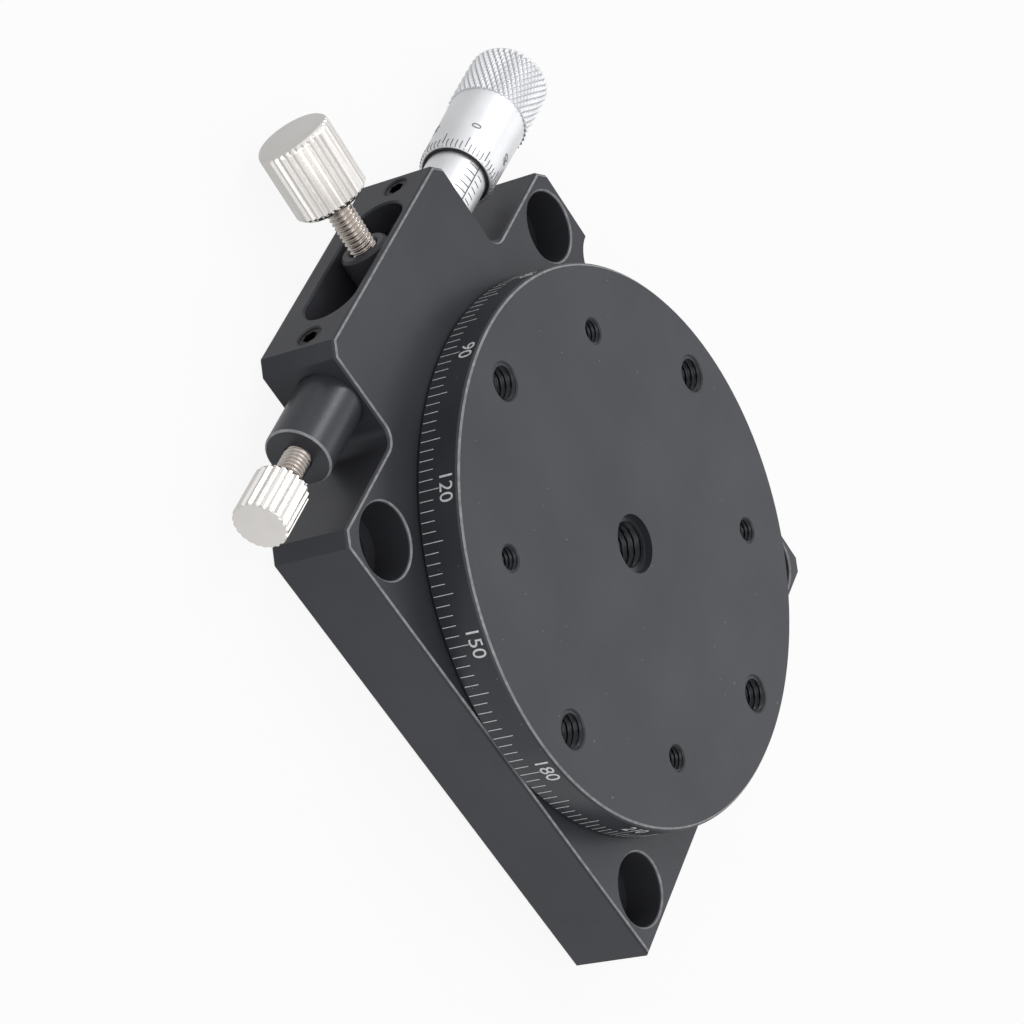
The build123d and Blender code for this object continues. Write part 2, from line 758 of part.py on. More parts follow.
# Lock screw's threaded shank
with BuildPart() as lock_shank:
    with BuildSketch(drive_section.offset(seat_back + contact_gap)):
        Circle(screw_diameter / 2)
    extrude(amount=lock_knob_start - seat_back - contact_gap)
    with BuildSketch(drive_section.offset(seat_back + contact_gap)):
        Circle(seat_stub_diameter / 2 + running_fit)
    extrude(amount=seat_stub_length, mode=Mode.SUBTRACT)
save(lock_shank.part, "lock_shank")

# Lock screw's fluted head
lock_knob = fluted_knob(
    drive_section.offset(lock_knob_start),
    lock_knob_diameter,
    lock_knob_length,
    lock_knob_flutes,
    lock_knob_end_radius,
    lock_knob_chamfer,
)
save(lock_knob.part, "lock_knob")

# Set screws in the block's front face
set_screw_front = front_reach - set_screw_recess
for label, side, held_diameter in (
    ("sleeve_set_screw", -1, sleeve_diameter),
    ("housing_set_screw", 1, housing_diameter),
):
    set_screw_back = mechanism_reach + held_diameter / 2 + contact_gap
    with BuildPart() as set_screw:
        with BuildSketch(Plane.XZ.offset(set_screw_back)):
            with Locations((side * set_screw_offset, mechanism_height)):
                Circle(set_screw_diameter / 2 - seat_fit)
        extrude(amount=set_screw_front - set_screw_back)
        with BuildSketch(Plane.XZ.offset(set_screw_front)):
            with Locations((side * set_screw_offset, mechanism_height)):
                RegularPolygon(set_screw_socket / 2, 6, major_radius=False)
        extrude(amount=-set_screw_socket_depth, mode=Mode.SUBTRACT)
    save(set_screw.part, label)
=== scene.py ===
import json
from math import cos, degrees, hypot, pi, radians, sin, sqrt, tan

import bmesh
import bpy
from mathutils import Matrix, Vector


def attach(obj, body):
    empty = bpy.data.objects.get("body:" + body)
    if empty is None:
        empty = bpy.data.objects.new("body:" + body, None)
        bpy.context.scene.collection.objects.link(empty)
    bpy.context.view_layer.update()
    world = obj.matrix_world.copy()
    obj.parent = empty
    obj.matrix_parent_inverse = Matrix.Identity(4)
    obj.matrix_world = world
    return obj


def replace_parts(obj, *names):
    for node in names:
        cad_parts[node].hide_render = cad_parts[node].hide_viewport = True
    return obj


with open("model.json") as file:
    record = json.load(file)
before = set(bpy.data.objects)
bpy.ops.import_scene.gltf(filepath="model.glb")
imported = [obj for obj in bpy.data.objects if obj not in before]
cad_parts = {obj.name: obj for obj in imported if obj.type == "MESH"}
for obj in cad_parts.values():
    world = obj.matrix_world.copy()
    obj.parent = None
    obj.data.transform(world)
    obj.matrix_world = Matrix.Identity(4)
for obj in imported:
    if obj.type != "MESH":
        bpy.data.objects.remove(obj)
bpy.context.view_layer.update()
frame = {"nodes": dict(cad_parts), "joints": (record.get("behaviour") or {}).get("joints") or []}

nodes = frame["nodes"]
joints = {joint["name"]: joint for joint in frame["joints"]}
MM = 0.001


# Places on the object, in millimetres, read from its joints and solids

def corners(node_name):
    """The corners of a node's solid."""
    solid = nodes[node_name]
    return [solid.matrix_world @ vertex.co / MM for vertex in solid.data.vertices]


def span(node_name, axis):
    """Where a node starts and ends along an axis."""
    places = [corner["XYZ".index(axis)] for corner in corners(node_name)]
    return min(places), max(places)


def radii(node_name):
    """The least and the greatest distance of a node's corners from the micrometer's axis."""
    distances = [hypot(corner.y - MIC_Y, corner.z - MIC_Z) for corner in corners(node_name)]
    return min(distances), max(distances)


MIC_Y, MIC_Z = (place / MM for place in joints["thimble_turn"]["pos_m"][1:])
BASE_TOP = span("base_plate", "Z")[1]
TABLE_BOTTOM, TABLE_TOP = span("table_plate", "Z")
TABLE_RADIUS = span("table_plate", "X")[1]
HOUSING_REAR = span("spring_housing", "X")[1]
SLEEVE_REAR, SLEEVE_FRONT = span("micrometer_sleeve", "X")
SPINDLE_BORE, SLEEVE_RADIUS = radii("micrometer_sleeve")
GRIP_FRONT, MOUTH_X = span("micrometer_thimble", "X")
BORE_RADIUS, REAR_RADIUS = radii("micrometer_thimble")
GRIP_REAR = span("thimble_grip", "X")[0]
GRIP_RADIUS = radii("thimble_grip")[1]
SCREW_RADIUS = radii("lock_shank")[1]
LOCK_HEAD_START, LOCK_HEAD_END = span("lock_knob", "X")
LOCK_HEAD_RADIUS = radii("lock_knob")[1]

# Other places and sizes on the object, in millimetres
MOUTH_RADIUS = 3.85
BEVEL = 0.25
NUT_START = -17.3
NUT_BORE = 2.2
CAVITY_END = -34.65
TABLE_TURN = 5.8
LARGE_HOLE_PLACE = 25.0
SMALL_HOLE_PLACE = 22.625
ARM_LEAN = radians(-3.2)
CLAMP_SHANK_START = 17.95
CLAMP_THREAD_START = 39.5
CLAMP_HEAD_START = 47.3
LOCK_SHANK_START = 21.9
LOCK_THREAD_START = 22.4
SCREW_PITCH = 0.5

# How far a new surface lies inside the solid that it stands for
INSET = 0.01


# Materials

def node_material(name, colour, roughness, metallic=0.0, specular=0.5):
    mat = bpy.data.materials.new(name)
    mat.use_nodes = True
    tree = mat.node_tree
    shader = tree.nodes["Principled BSDF"]
    shader.inputs["Base Color"].default_value = (*colour, 1)
    shader.inputs["Roughness"].default_value = roughness
    shader.inputs["Metallic"].default_value = metallic
    shader.inputs["Specular IOR Level"].default_value = specular
    return mat, tree, shader


def add(tree, kind, **values):
    node = tree.nodes.new(kind)
    for key, value in values.items():
        setattr(node, key, value)
    return node


def math_node(tree, operation, a, b=None, clamp=False):
    node = add(tree, "ShaderNodeMath", operation=operation, use_clamp=clamp)
    for socket, value in zip(node.inputs, (a, b)):
        if value is None:
            continue
        if isinstance(value, (int, float)):
            socket.default_value = value
        else:
            tree.links.new(value, socket)
    return node.outputs[0]


def map_range(tree, value, source, target=(0.0, 1.0)):
    """Moves a value from one range into another."""
    node = add(tree, "ShaderNodeMapRange")
    tree.links.new(value, node.inputs["Value"])
    for name, limit in zip(("From Min", "From Max", "To Min", "To Max"), (*source, *target)):
        node.inputs[name].default_value = limit
    return node.outputs["Result"]


def separate(tree, vector):
    """The X, Y and Z of a vector, by name."""
    node = add(tree, "ShaderNodeSeparateXYZ")
    tree.links.new(vector, node.inputs[0])
    return node.outputs


def object_coords(tree):
    return add(tree, "ShaderNodeTexCoord").outputs["Object"]


def noise(tree, scale, detail):
    tex = add(tree, "ShaderNodeTexNoise")
    tex.inputs["Scale"].default_value = scale
    tex.inputs["Detail"].default_value = detail
    tree.links.new(object_coords(tree), tex.inputs["Vector"])
    return tex.outputs["Fac"]


def spread(tree, fac, low=0.0, high=1.0):
    """Noise, most of which lies from 0.3 to 0.7, stretched over a range."""
    return map_range(tree, fac, (0.3, 0.7), (low, high))


def mix_colour(tree, fac, a, b):
    node = add(tree, "ShaderNodeMix", data_type="RGBA")
    tree.links.new(fac, node.inputs["Factor"])
    for socket, value in ((node.inputs[6], a), (node.inputs[7], b)):
        if isinstance(value, tuple):
            socket.default_value = (*value, 1)
        else:
            tree.links.new(value, socket)
    return node.outputs[2]


def bump(tree, shader, height, strength, distance):
    node = add(tree, "ShaderNodeBump")
    node.inputs["Strength"].default_value = strength
    node.inputs["Distance"].default_value = distance
    tree.links.new(height, node.inputs["Height"])
    tree.links.new(node.outputs["Normal"], shader.inputs["Normal"])


def within(tree, value, low, high):
    """1 where the value lies between two limits, else 0."""
    above = math_node(tree, "GREATER_THAN", value, low)
    below = math_node(tree, "LESS_THAN", value, high)
    return math_node(tree, "MULTIPLY", above, below)


def from_axis(tree, along, centre=(0, 0, 0)):
    """Distance of each point from a line through centre that runs along an axis."""
    place = separate(tree, object_coords(tree))
    squares = []
    for axis, middle in zip("XYZ", centre):
        if axis != along:
            offset = math_node(tree, "SUBTRACT", place[axis], middle)
            squares.append(math_node(tree, "MULTIPLY", offset, offset))
    return math_node(tree, "SQRT", math_node(tree, "ADD", *squares))


# Chamfers at 45 degrees have this much of their normal along the axis that they are cut round
CHAMFER_SLOPE = (0.6, 0.8)


def cut_edge(tree, axis, low, high, beyond=0.0):
    """1 on chamfers between two places on an axis, in millimetres, and beyond a distance from Z, where a
    painted highlight goes.
    """
    geometry = add(tree, "ShaderNodeNewGeometry")
    normal = separate(tree, geometry.outputs["True Normal"])
    slope = within(tree, math_node(tree, "ABSOLUTE", normal[axis]), *CHAMFER_SLOPE)
    place = within(tree, separate(tree, object_coords(tree))[axis], low * MM, high * MM)
    outside = math_node(tree, "GREATER_THAN", from_axis(tree, "Z"), beyond * MM)
    return math_node(tree, "MULTIPLY", math_node(tree, "MULTIPLY", slope, place), outside)


PLAIN_BLACK = (0.020, 0.020, 0.022)
DEEP_BLACK = (0.0150, 0.0155, 0.0180)
PALE_BLACK = (0.0215, 0.0220, 0.0255)
BLACK_GLOSS = (0.90, 0.93, 1.0)
# Painted highlight: the pale colour of lit chamfer edges
EDGE_HIGHLIGHT = (0.30, 0.30, 0.31)
DUST = (0.22, 0.21, 0.20)
# Painted shade in the bottoms of the knurl grooves
KNURL_GROOVE_SHADE = (0.50, 0.51, 0.53)

# Two layers of dust: how dense the cells are, how far a speck fills its cell, and how many stay empty
DUST_LAYERS = ((420.0, 0.035, 0.66), (900.0, 0.05, 0.80))


def dusty(tree, colour):
    """Puts pale specks on a colour."""
    for scale, reach, empty in DUST_LAYERS:
        cells = add(tree, "ShaderNodeTexVoronoi", feature="F1")
        cells.inputs["Scale"].default_value = scale
        tree.links.new(object_coords(tree), cells.inputs["Vector"])
        near = math_node(tree, "LESS_THAN", cells.outputs["Distance"], reach)
        tint = add(tree, "ShaderNodeSeparateColor")
        tree.links.new(cells.outputs["Color"], tint.inputs[0])
        some = math_node(tree, "GREATER_THAN", tint.outputs[0], empty)
        colour = mix_colour(tree, math_node(tree, "MULTIPLY", near, some), colour, DUST)
    return colour


def anodised(name, edge=None, dust=False, roughness=0.37, specular=0.31, tone=1.7):
    """Black anodised aluminium: fine grain, and a painted highlight on chamfered edges."""
    mat, tree, shader = node_material(name, PLAIN_BLACK, roughness, specular=specular)
    shader.inputs["Specular Tint"].default_value = (*BLACK_GLOSS, 1)
    cloud = noise(tree, scale=90.0, detail=4.0)
    dark = tuple(tone * part for part in DEEP_BLACK)
    light = tuple(tone * part for part in PALE_BLACK)
    colour = mix_colour(tree, spread(tree, cloud), dark, light)
    # Painted highlight on the chamfers, made patchy with noise
    if edge:
        highlight_patches = spread(tree, noise(tree, scale=1500.0, detail=2.0), 0.5, 0.9)
        highlight_mask = math_node(tree, "MULTIPLY", cut_edge(tree, *edge), highlight_patches)
        colour = mix_colour(tree, highlight_mask, colour, EDGE_HIGHLIGHT)
    if dust:
        colour = dusty(tree, colour)
    tree.links.new(colour, shader.inputs["Base Color"])
    grain = noise(tree, scale=9000.0, detail=2.0)
    tree.links.new(spread(tree, grain, roughness - 0.05, roughness + 0.07), shader.inputs["Roughness"])
    bump(tree, shader, grain, strength=0.12, distance=0.00003)
    return mat


def metal(name, dark, light, roughness, grain_scale=2500.0, cuts=None):
    """Plated or turned metal: small changes of colour and gloss, fine marks, and painted shade that darkens
    the knurl grooves.
    """
    mat, tree, shader = node_material(name, light, roughness[0], metallic=1.0)
    cloud = noise(tree, scale=220.0, detail=3.0)
    colour = mix_colour(tree, spread(tree, cloud), dark, light)
    if cuts:
        # Painted shade: darker towards the bottoms of the knurl grooves, which lie between these radii
        radius = from_axis(tree, "X", (0, MIC_Y * MM, MIC_Z * MM))
        height = map_range(tree, radius, [limit * MM for limit in cuts])
        colour = mix_colour(tree, height, KNURL_GROOVE_SHADE, colour)
    tree.links.new(colour, shader.inputs["Base Color"])
    grain = noise(tree, grain_scale, detail=3.0)
    tree.links.new(spread(tree, grain, *roughness), shader.inputs["Roughness"])
    bump(tree, shader, grain, strength=0.05, distance=0.00002)
    return mat


def paint(name, dark, light):
    mat, tree, shader = node_material(name, light, roughness=0.55)
    cloud = noise(tree, scale=3000.0, detail=2.0)
    tree.links.new(mix_colour(tree, spread(tree, cloud), dark, light), shader.inputs["Base Color"])
    return mat


# Where each part gets its painted chamfer highlight: axis, limits in millimetres, and for the table only
# its rim
base_highlight_band = ("Z", BASE_TOP - 0.16, BASE_TOP + 0.02)
table_highlight_band = ("Z", TABLE_TOP - 0.18, TABLE_TOP + 0.02, TABLE_RADIUS - 1.5)
housing_highlight_band = ("X", HOUSING_REAR - 0.25, HOUSING_REAR + 0.15)
chrome_shades = ((0.80, 0.81, 0.83), (0.88, 0.89, 0.91))

black = anodised("black_anodised")
base_black = anodised("base_black", base_highlight_band)
table_black = anodised("table_black", table_highlight_band, dust=True)
housing_black = anodised("housing_black", housing_highlight_band, roughness=0.32, specular=0.44)
# Painted shade: the threads inside the table's holes are darker than the other black parts
shaded_thread_black = anodised("shaded_thread_black", roughness=0.3, specular=0.35, tone=0.5)
chrome = metal("satin_chrome", *chrome_shades, (0.40, 0.50), 5000.0)
knurl_chrome = metal("knurl_chrome", *chrome_shades, (0.36, 0.46), 5000.0, cuts=(4.30, 4.39))
nickel = metal("bright_nickel", (0.80, 0.775, 0.75), (0.86, 0.835, 0.81), (0.20, 0.26), 1800.0)
shank_steel = metal("shank_steel", (0.50, 0.45, 0.42), (0.66, 0.61, 0.57), (0.20, 0.30), 2600.0)
steel = metal("screw_steel", (0.50, 0.47, 0.43), (0.66, 0.62, 0.57), (0.22, 0.36), 2600.0)
hard_steel = metal("hardened_steel", (0.58, 0.58, 0.59), (0.68, 0.68, 0.69), (0.14, 0.24), 1500.0)
brass = metal("brass", (0.66, 0.50, 0.24), (0.78, 0.62, 0.32), (0.22, 0.34))
wire = metal("spring_steel", (0.46, 0.46, 0.47), (0.56, 0.56, 0.57), (0.20, 0.32))
set_steel = metal("black_steel", (0.020, 0.020, 0.020), (0.045, 0.045, 0.045), (0.32, 0.42))
scale_paint = paint("scale_paint", (0.50, 0.51, 0.51), (0.64, 0.65, 0.65))
dark_mark = paint("dark_mark", (0.060, 0.060, 0.064), (0.100, 0.100, 0.105))
faint_mark = paint("faint_mark", (0.150, 0.150, 0.158), (0.210, 0.210, 0.220))
# Painted shade for the gap in the thimble's mouth
gap_shade_black = paint("gap_shade_black", (0.006, 0.006, 0.006), (0.012, 0.012, 0.012))

inner_screws = [f"{kind}_screw_{number}" for kind in ("hub", "pivot") for number in range(1, 5)]
race_nodes = ["bearing_inner_race", "bearing_outer_race", "bearing_cage"]
finishes = {
    base_black: ["base_plate"],
    black: ["table_hub", "bearing_retainer", "clamp_ring", "arm_rod", "pivot_post"],
    table_black: ["table_plate"],
    housing_black: ["spring_housing"],
    chrome: ["micrometer_sleeve", "micrometer_thimble"],
    nickel: ["clamp_knob", "lock_knob"],
    steel: ["lock_seat", "plunger"] + inner_screws,
    set_steel: ["sleeve_set_screw", "housing_set_screw"],
    hard_steel: race_nodes + ["micrometer_spindle", "spindle_tip"],
    brass: ["clamp_pad"],
    wire: ["return_spring"],
}
for finish, node_names in finishes.items():
    for node_name in node_names:
        nodes[node_name].data.materials.clear()
        nodes[node_name].data.materials.append(finish)


# Pieces

def piece(name, mesh, material, body, smooth=None):
    """Makes an object that moves with a body, shaded smooth up to an angle in degrees."""
    obj = bpy.data.objects.new(name, mesh)
    bpy.context.scene.collection.objects.link(obj)
    mesh.materials.clear()
    mesh.materials.append(material)
    if smooth is not None:
        for face in mesh.polygons:
            face.use_smooth = True
        mesh.set_sharp_from_angle(angle=radians(smooth))
    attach(obj, body)
    return obj


def join_loops(bm, first, second):
    """Faces between two loops of as many corners."""
    for i in range(len(first)):
        j = (i + 1) % len(first)
        bm.faces.new((first[i], first[j], second[j], second[i]))


def finished_mesh(name, bm):
    bmesh.ops.recalc_face_normals(bm, faces=bm.faces)
    mesh = bpy.data.meshes.new(name)
    bm.to_mesh(mesh)
    bm.free()
    return mesh


def rings_mesh(name, rings, place, closed=False):
    """A surface through rings of (along, radius, angle) points, capped at both ends or closed on itself."""
    bm = bmesh.new()
    loops = [[bm.verts.new(place(*point)) for point in points] for points in rings]
    for first, second in zip(loops, loops[1:]):
        join_loops(bm, first, second)
    if closed:
        join_loops(bm, loops[-1], loops[0])
    else:
        bm.faces.new(list(reversed(loops[0])))
        bm.faces.new(loops[-1])
    return finished_mesh(name, bm)


def ring(along, radius, count):
    """One ring: radius is a number or a function of the angle."""
    points = []
    for i in range(count):
        angle = 2 * pi * i / count
        points.append((along, radius(angle) if callable(radius) else radius, angle))
    return points


def mic_place(along, radius, angle):
    """Along the micrometer's axis, which is the spring's too."""
    return Vector((along, MIC_Y + radius * cos(angle), MIC_Z + radius * sin(angle))) * MM


def arm_place(along, radius, angle):
    """Along the arm's centre line, which leans in the slot."""
    outward = Vector((sin(ARM_LEAN), -cos(ARM_LEAN), 0))
    sideways = Vector((cos(ARM_LEAN), sin(ARM_LEAN), 0))
    middle = Vector((0, 0, MIC_Z)) + outward * along
    return (middle + sideways * radius * cos(angle) + Vector((0, 0, radius * sin(angle)))) * MM


def hole_place(centre):
    """Along an upright hole."""
    def place(along, radius, angle):
        return Vector((centre[0] + radius * cos(angle), centre[1] + radius * sin(angle), along)) * MM
    return place


# Screw threads, with a narrow flat at crest and root
THREAD_FLAT = 0.12


def thread_radius(along, crest, root, pitch):
    """The radius round a thread at one place along it, as a function of the angle."""
    def radius(angle):
        turn = (along / pitch - angle / (2 * pi)) % 1.0
        tooth = 1 - abs(2 * turn - 1)
        rise = (tooth - THREAD_FLAT) / (1 - 2 * THREAD_FLAT)
        return root + (crest - root) * min(1, max(0, rise))
    return radius


def thread_rings(start, end, crest, root, pitch, count, per_pitch):
    """Rings along a thread, from its start to its end."""
    steps = round((end - start) / pitch * per_pitch)
    stations = [start + (end - start) * k / steps for k in range(steps + 1)]
    return [ring(along, thread_radius(along, crest, root, pitch), count) for along in stations]


def threaded_shank(name, place, start, thread_start, end, node, body):
    """Screw shank: plain where it is hidden, cut with its thread where it shows."""
    count, plain_inset, thread_inset = 72, 0.02, 0.31
    crest, root = SCREW_RADIUS - INSET, SCREW_RADIUS - thread_inset
    rings = [ring(along, SCREW_RADIUS - plain_inset, count) for along in (start, thread_start)]
    rings += thread_rings(thread_start, end, crest, root, SCREW_PITCH, count, per_pitch=12)[1:]
    obj = piece(name, rings_mesh(name, rings, place), shank_steel, body, smooth=70)
    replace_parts(obj, node)


threaded_shank("clamp_screw_thread", arm_place, CLAMP_SHANK_START, CLAMP_THREAD_START, CLAMP_HEAD_START,
               "clamp_shank", "clamp_screw")
threaded_shank("lock_screw_thread", mic_place, LOCK_SHANK_START, LOCK_THREAD_START, LOCK_HEAD_START,
               "lock_shank", "lock_screw")

# Fluted screw heads
FLUTE_DEPTH = 0.26
LAND_SHARES = (1 / 3, 1 / 2, 2 / 3)
END_STEPS = 8


def fluted_head(name, place, node, body, radius, start, length, flutes, end_radius, chamfer):
    """Screw head with V flutes all along: chamfered towards the screw, rounded at its end."""
    section = []
    for flute in range(flutes):
        section.append((2 * pi * flute / flutes, radius - FLUTE_DEPTH))
        section += [(2 * pi * (flute + share) / flutes, radius) for share in LAND_SHARES]
    limits = [(0, radius - chamfer), (chamfer - FLUTE_DEPTH, radius - FLUTE_DEPTH), (chamfer, radius)]
    for step in range(END_STEPS + 1):
        bend = pi / 2 * step / END_STEPS
        limits.append((length - end_radius * (1 - sin(bend)), radius - end_radius * (1 - cos(bend))))
    rings = []
    for along, limit in limits:
        rings.append([(start + along, min(limit, reach), angle) for angle, reach in section])
    obj = piece(name, rings_mesh(name, rings, place), nickel, body, smooth=28)
    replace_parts(obj, node)


fluted_head("clamp_screw_head", arm_place, "clamp_knob", "clamp_screw",
            radius=4.0, start=CLAMP_HEAD_START, length=8.3, flutes=34, end_radius=0.8, chamfer=0.5)
fluted_head("lock_screw_head", mic_place, "lock_knob", "lock_screw",
            radius=LOCK_HEAD_RADIUS, start=LOCK_HEAD_START, length=LOCK_HEAD_END - LOCK_HEAD_START,
            flutes=22, end_radius=0.3, chamfer=0.35)

# Tapped holes in the table: their threads stand in from the holes' walls
HOLE_THREAD_BOTTOM = TABLE_BOTTOM + 0.03
HOLE_THREAD_TOP = TABLE_TOP - 0.2
CENTRE_THREAD_TOP = TABLE_TOP - 0.85
WALL_OVERLAP = 0.03


def threaded_hole(name, centre, wall, depth, pitch, top=HOLE_THREAD_TOP):
    """The thread of one hole: wall is the hole's radius, and depth is how far the thread stands in."""
    count = 40
    bottom = HOLE_THREAD_BOTTOM
    inner = thread_rings(bottom, top, wall - INSET, wall - depth, pitch, count, per_pitch=10)
    outer = [ring(along, wall + WALL_OVERLAP, count) for along in (top, bottom)]
    mesh = rings_mesh(name, inner + outer, hole_place(centre), closed=True)
    piece(name, mesh, shaded_thread_black, "table", smooth=40)


def around_table(distance, turn):
    return distance * cos(radians(turn)), distance * sin(radians(turn))


for k in range(4):
    turn = TABLE_TURN + 90 * k
    centre = around_table(LARGE_HOLE_PLACE, turn)
    threaded_hole(f"table_thread_large_{k + 1}", centre, wall=2.0, depth=0.32, pitch=0.7)
    centre = around_table(SMALL_HOLE_PLACE, turn + 45)
    threaded_hole(f"table_thread_small_{k + 1}", centre, wall=1.35, depth=0.2, pitch=0.5)
threaded_hole("table_thread_centre", (0, 0), wall=2.65, depth=0.35, pitch=0.8, top=CENTRE_THREAD_TOP)

# Knurled grip: cuts crossed at 30 degrees to its axis leave small pyramids, and the rear edge is rounded
KNURL_ANGLE = radians(30)
KNURLS_ROUND = 42
KNURL_DEPTH = 0.24
GRIP_EDGE = 0.7
EDGE_ROWS = 6


def grip_outline(along):
    """The grip's radius before it is knurled."""
    inside = max(0, GRIP_EDGE - (along - GRIP_REAR))
    return GRIP_RADIUS - INSET - GRIP_EDGE + sqrt(max(0, GRIP_EDGE**2 - inside**2))


def knurled_grip():
    """Corners and tips of the pyramids alternate on a grid, and each cell folds along its cut."""
    pitch = 2 * pi * GRIP_RADIUS / KNURLS_ROUND / tan(KNURL_ANGLE)
    bm = bmesh.new()
    around = 2 * KNURLS_ROUND
    steps = round(2 * (GRIP_FRONT - GRIP_REAR) / pitch)
    stations = [float(step) for step in range(steps)]
    stations += [steps - 1 + (k + 1) / EDGE_ROWS for k in range(EDGE_ROWS)]
    rows = []
    for station in stations:
        along = GRIP_FRONT + (GRIP_REAR - GRIP_FRONT) * station / steps
        depth = KNURL_DEPTH * min(1, steps - station)
        share = station % 1
        row = []
        for i in range(around):
            even = (i + int(station)) % 2 == 0
            radius = grip_outline(along) - depth * (1 - share if even else share)
            row.append(bm.verts.new(mic_place(along, radius, 2 * pi * i / around)))
        rows.append(row)
    for station, front_row, rear_row in zip(stations, rows, rows[1:]):
        for i in range(around):
            a, b = front_row[i], front_row[(i + 1) % around]
            c, d = rear_row[(i + 1) % around], rear_row[i]
            even = (i + int(station)) % 2 == 0
            for triangle in ((a, b, c), (a, c, d)) if even else ((a, b, d), (b, c, d)):
                bm.faces.new(triangle)
    bore = [[bm.verts.new(mic_place(*point)) for point in ring(along, BORE_RADIUS, around)]
            for along in (GRIP_FRONT, CAVITY_END)]
    join_loops(bm, rows[0], bore[0])
    join_loops(bm, bore[0], bore[1])
    bm.faces.new(bore[1])
    bm.faces.new(rows[-1])
    return finished_mesh("micrometer_grip", bm)


grip = piece("micrometer_grip", knurled_grip(), knurl_chrome, "thimble")
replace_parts(grip, "thimble_grip")


def turned(name, outline, node, body):
    """A finely divided lathe shape round the micrometer's axis, from (along, radius) corners."""
    rings = [ring(along, radius, 160) for along, radius in outline]
    mesh = rings_mesh(name, rings, mic_place, closed=True)
    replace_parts(piece(name, mesh, chrome, body, smooth=30), node)


turned("lathed_thimble", (
    (MOUTH_X, BORE_RADIUS),
    (MOUTH_X, MOUTH_RADIUS),
    (MOUTH_X - BEVEL, MOUTH_RADIUS + BEVEL),
    (GRIP_FRONT, REAR_RADIUS),
    (GRIP_FRONT, BORE_RADIUS),
), "micrometer_thimble", "thimble")

turned("lathed_sleeve", (
    (SLEEVE_FRONT, SPINDLE_BORE),
    (SLEEVE_FRONT, SLEEVE_RADIUS),
    (SLEEVE_REAR, SLEEVE_RADIUS),
    (SLEEVE_REAR, NUT_BORE),
    (NUT_START, NUT_BORE),
    (NUT_START, SPINDLE_BORE),
), "micrometer_sleeve", "base")

# Painted shade: a black ring that fills the shadowed gap in the thimble's mouth, round the sleeve
RING_INNER = SLEEVE_RADIUS + 0.07
RING_OUTER = BORE_RADIUS + 0.045
RING_BACK = MOUTH_X - 0.2
RING_FACE = MOUTH_X + 0.04
ring_corners = [(RING_BACK, RING_INNER), (RING_FACE, RING_INNER)]
ring_corners += [(RING_FACE, RING_OUTER), (RING_BACK, RING_OUTER)]
mouth_rings = [ring(along, radius, 96) for along, radius in ring_corners]
mouth_mesh = rings_mesh("thimble_mouth_shade", mouth_rings, mic_place, closed=True)
piece("thimble_mouth_shade", mouth_mesh, gap_shade_black, "thimble", smooth=35)


# Marks: thin plates and numerals with (across, along) corners, laid round a cylinder
MARK_LIFT = 0.012
FINE_LIFT = 0.03
MARK_DEPTH = 0.05


def wrap_rim(across, along, lift):
    """Round the table: across is an angle in degrees, along a height, and lift goes out of the surface."""
    radius = TABLE_RADIUS + lift
    return Vector((radius * cos(radians(across)), radius * sin(radians(across)), along)) * MM


def thimble_radius(along):
    bevel_end = MOUTH_X - BEVEL
    if along > bevel_end:
        return MOUTH_RADIUS + (MOUTH_X - along)
    share = (bevel_end - along) / (bevel_end - GRIP_FRONT)
    return MOUTH_RADIUS + BEVEL + (REAR_RADIUS - MOUTH_RADIUS - BEVEL) * share


def wrap_mic(across, along, radius):
    """Round the micrometer: an angle of 0 faces the front and 90 faces up."""
    angle = radians(across)
    return Vector((along, MIC_Y - radius * cos(angle), MIC_Z + radius * sin(angle))) * MM


def wrap_thimble(across, along, lift):
    return wrap_mic(across, along, thimble_radius(along) + lift)


def wrap_sleeve(across, along, lift):
    return wrap_mic(across, along, SLEEVE_RADIUS + lift)


def add_patch(bm, wrap, across, along, cells=(1, 1), rise=MARK_LIFT):
    """A thin closed plate between two angles and two places along, bent round its cylinder."""
    columns, rows = cells

    def layer(lift):
        turns = [across[0] + (across[1] - across[0]) * i / columns for i in range(columns + 1)]
        places = [along[0] + (along[1] - along[0]) * j / rows for j in range(rows + 1)]
        return [[bm.verts.new(wrap(turn, place, lift)) for place in places] for turn in turns]

    top, bottom = layer(rise), layer(-MARK_DEPTH)
    for i in range(columns):
        for j in range(rows):
            bm.faces.new((top[i][j], top[i + 1][j], top[i + 1][j + 1], top[i][j + 1]))
            bm.faces.new((bottom[i][j], bottom[i][j + 1], bottom[i + 1][j + 1], bottom[i + 1][j]))
    border = [(i, 0) for i in range(columns)] + [(columns, j) for j in range(rows)]
    border += [(i, rows) for i in range(columns, 0, -1)] + [(0, j) for j in range(rows, 0, -1)]
    for (a, b), (c, d) in zip(border, border[1:] + border[:1]):
        bm.faces.new((top[a][b], bottom[a][b], bottom[c][d], top[c][d]))


# Numerals are made one unit tall before they are bent, and edges longer than this are divided
LONGEST_EDGE = 0.22


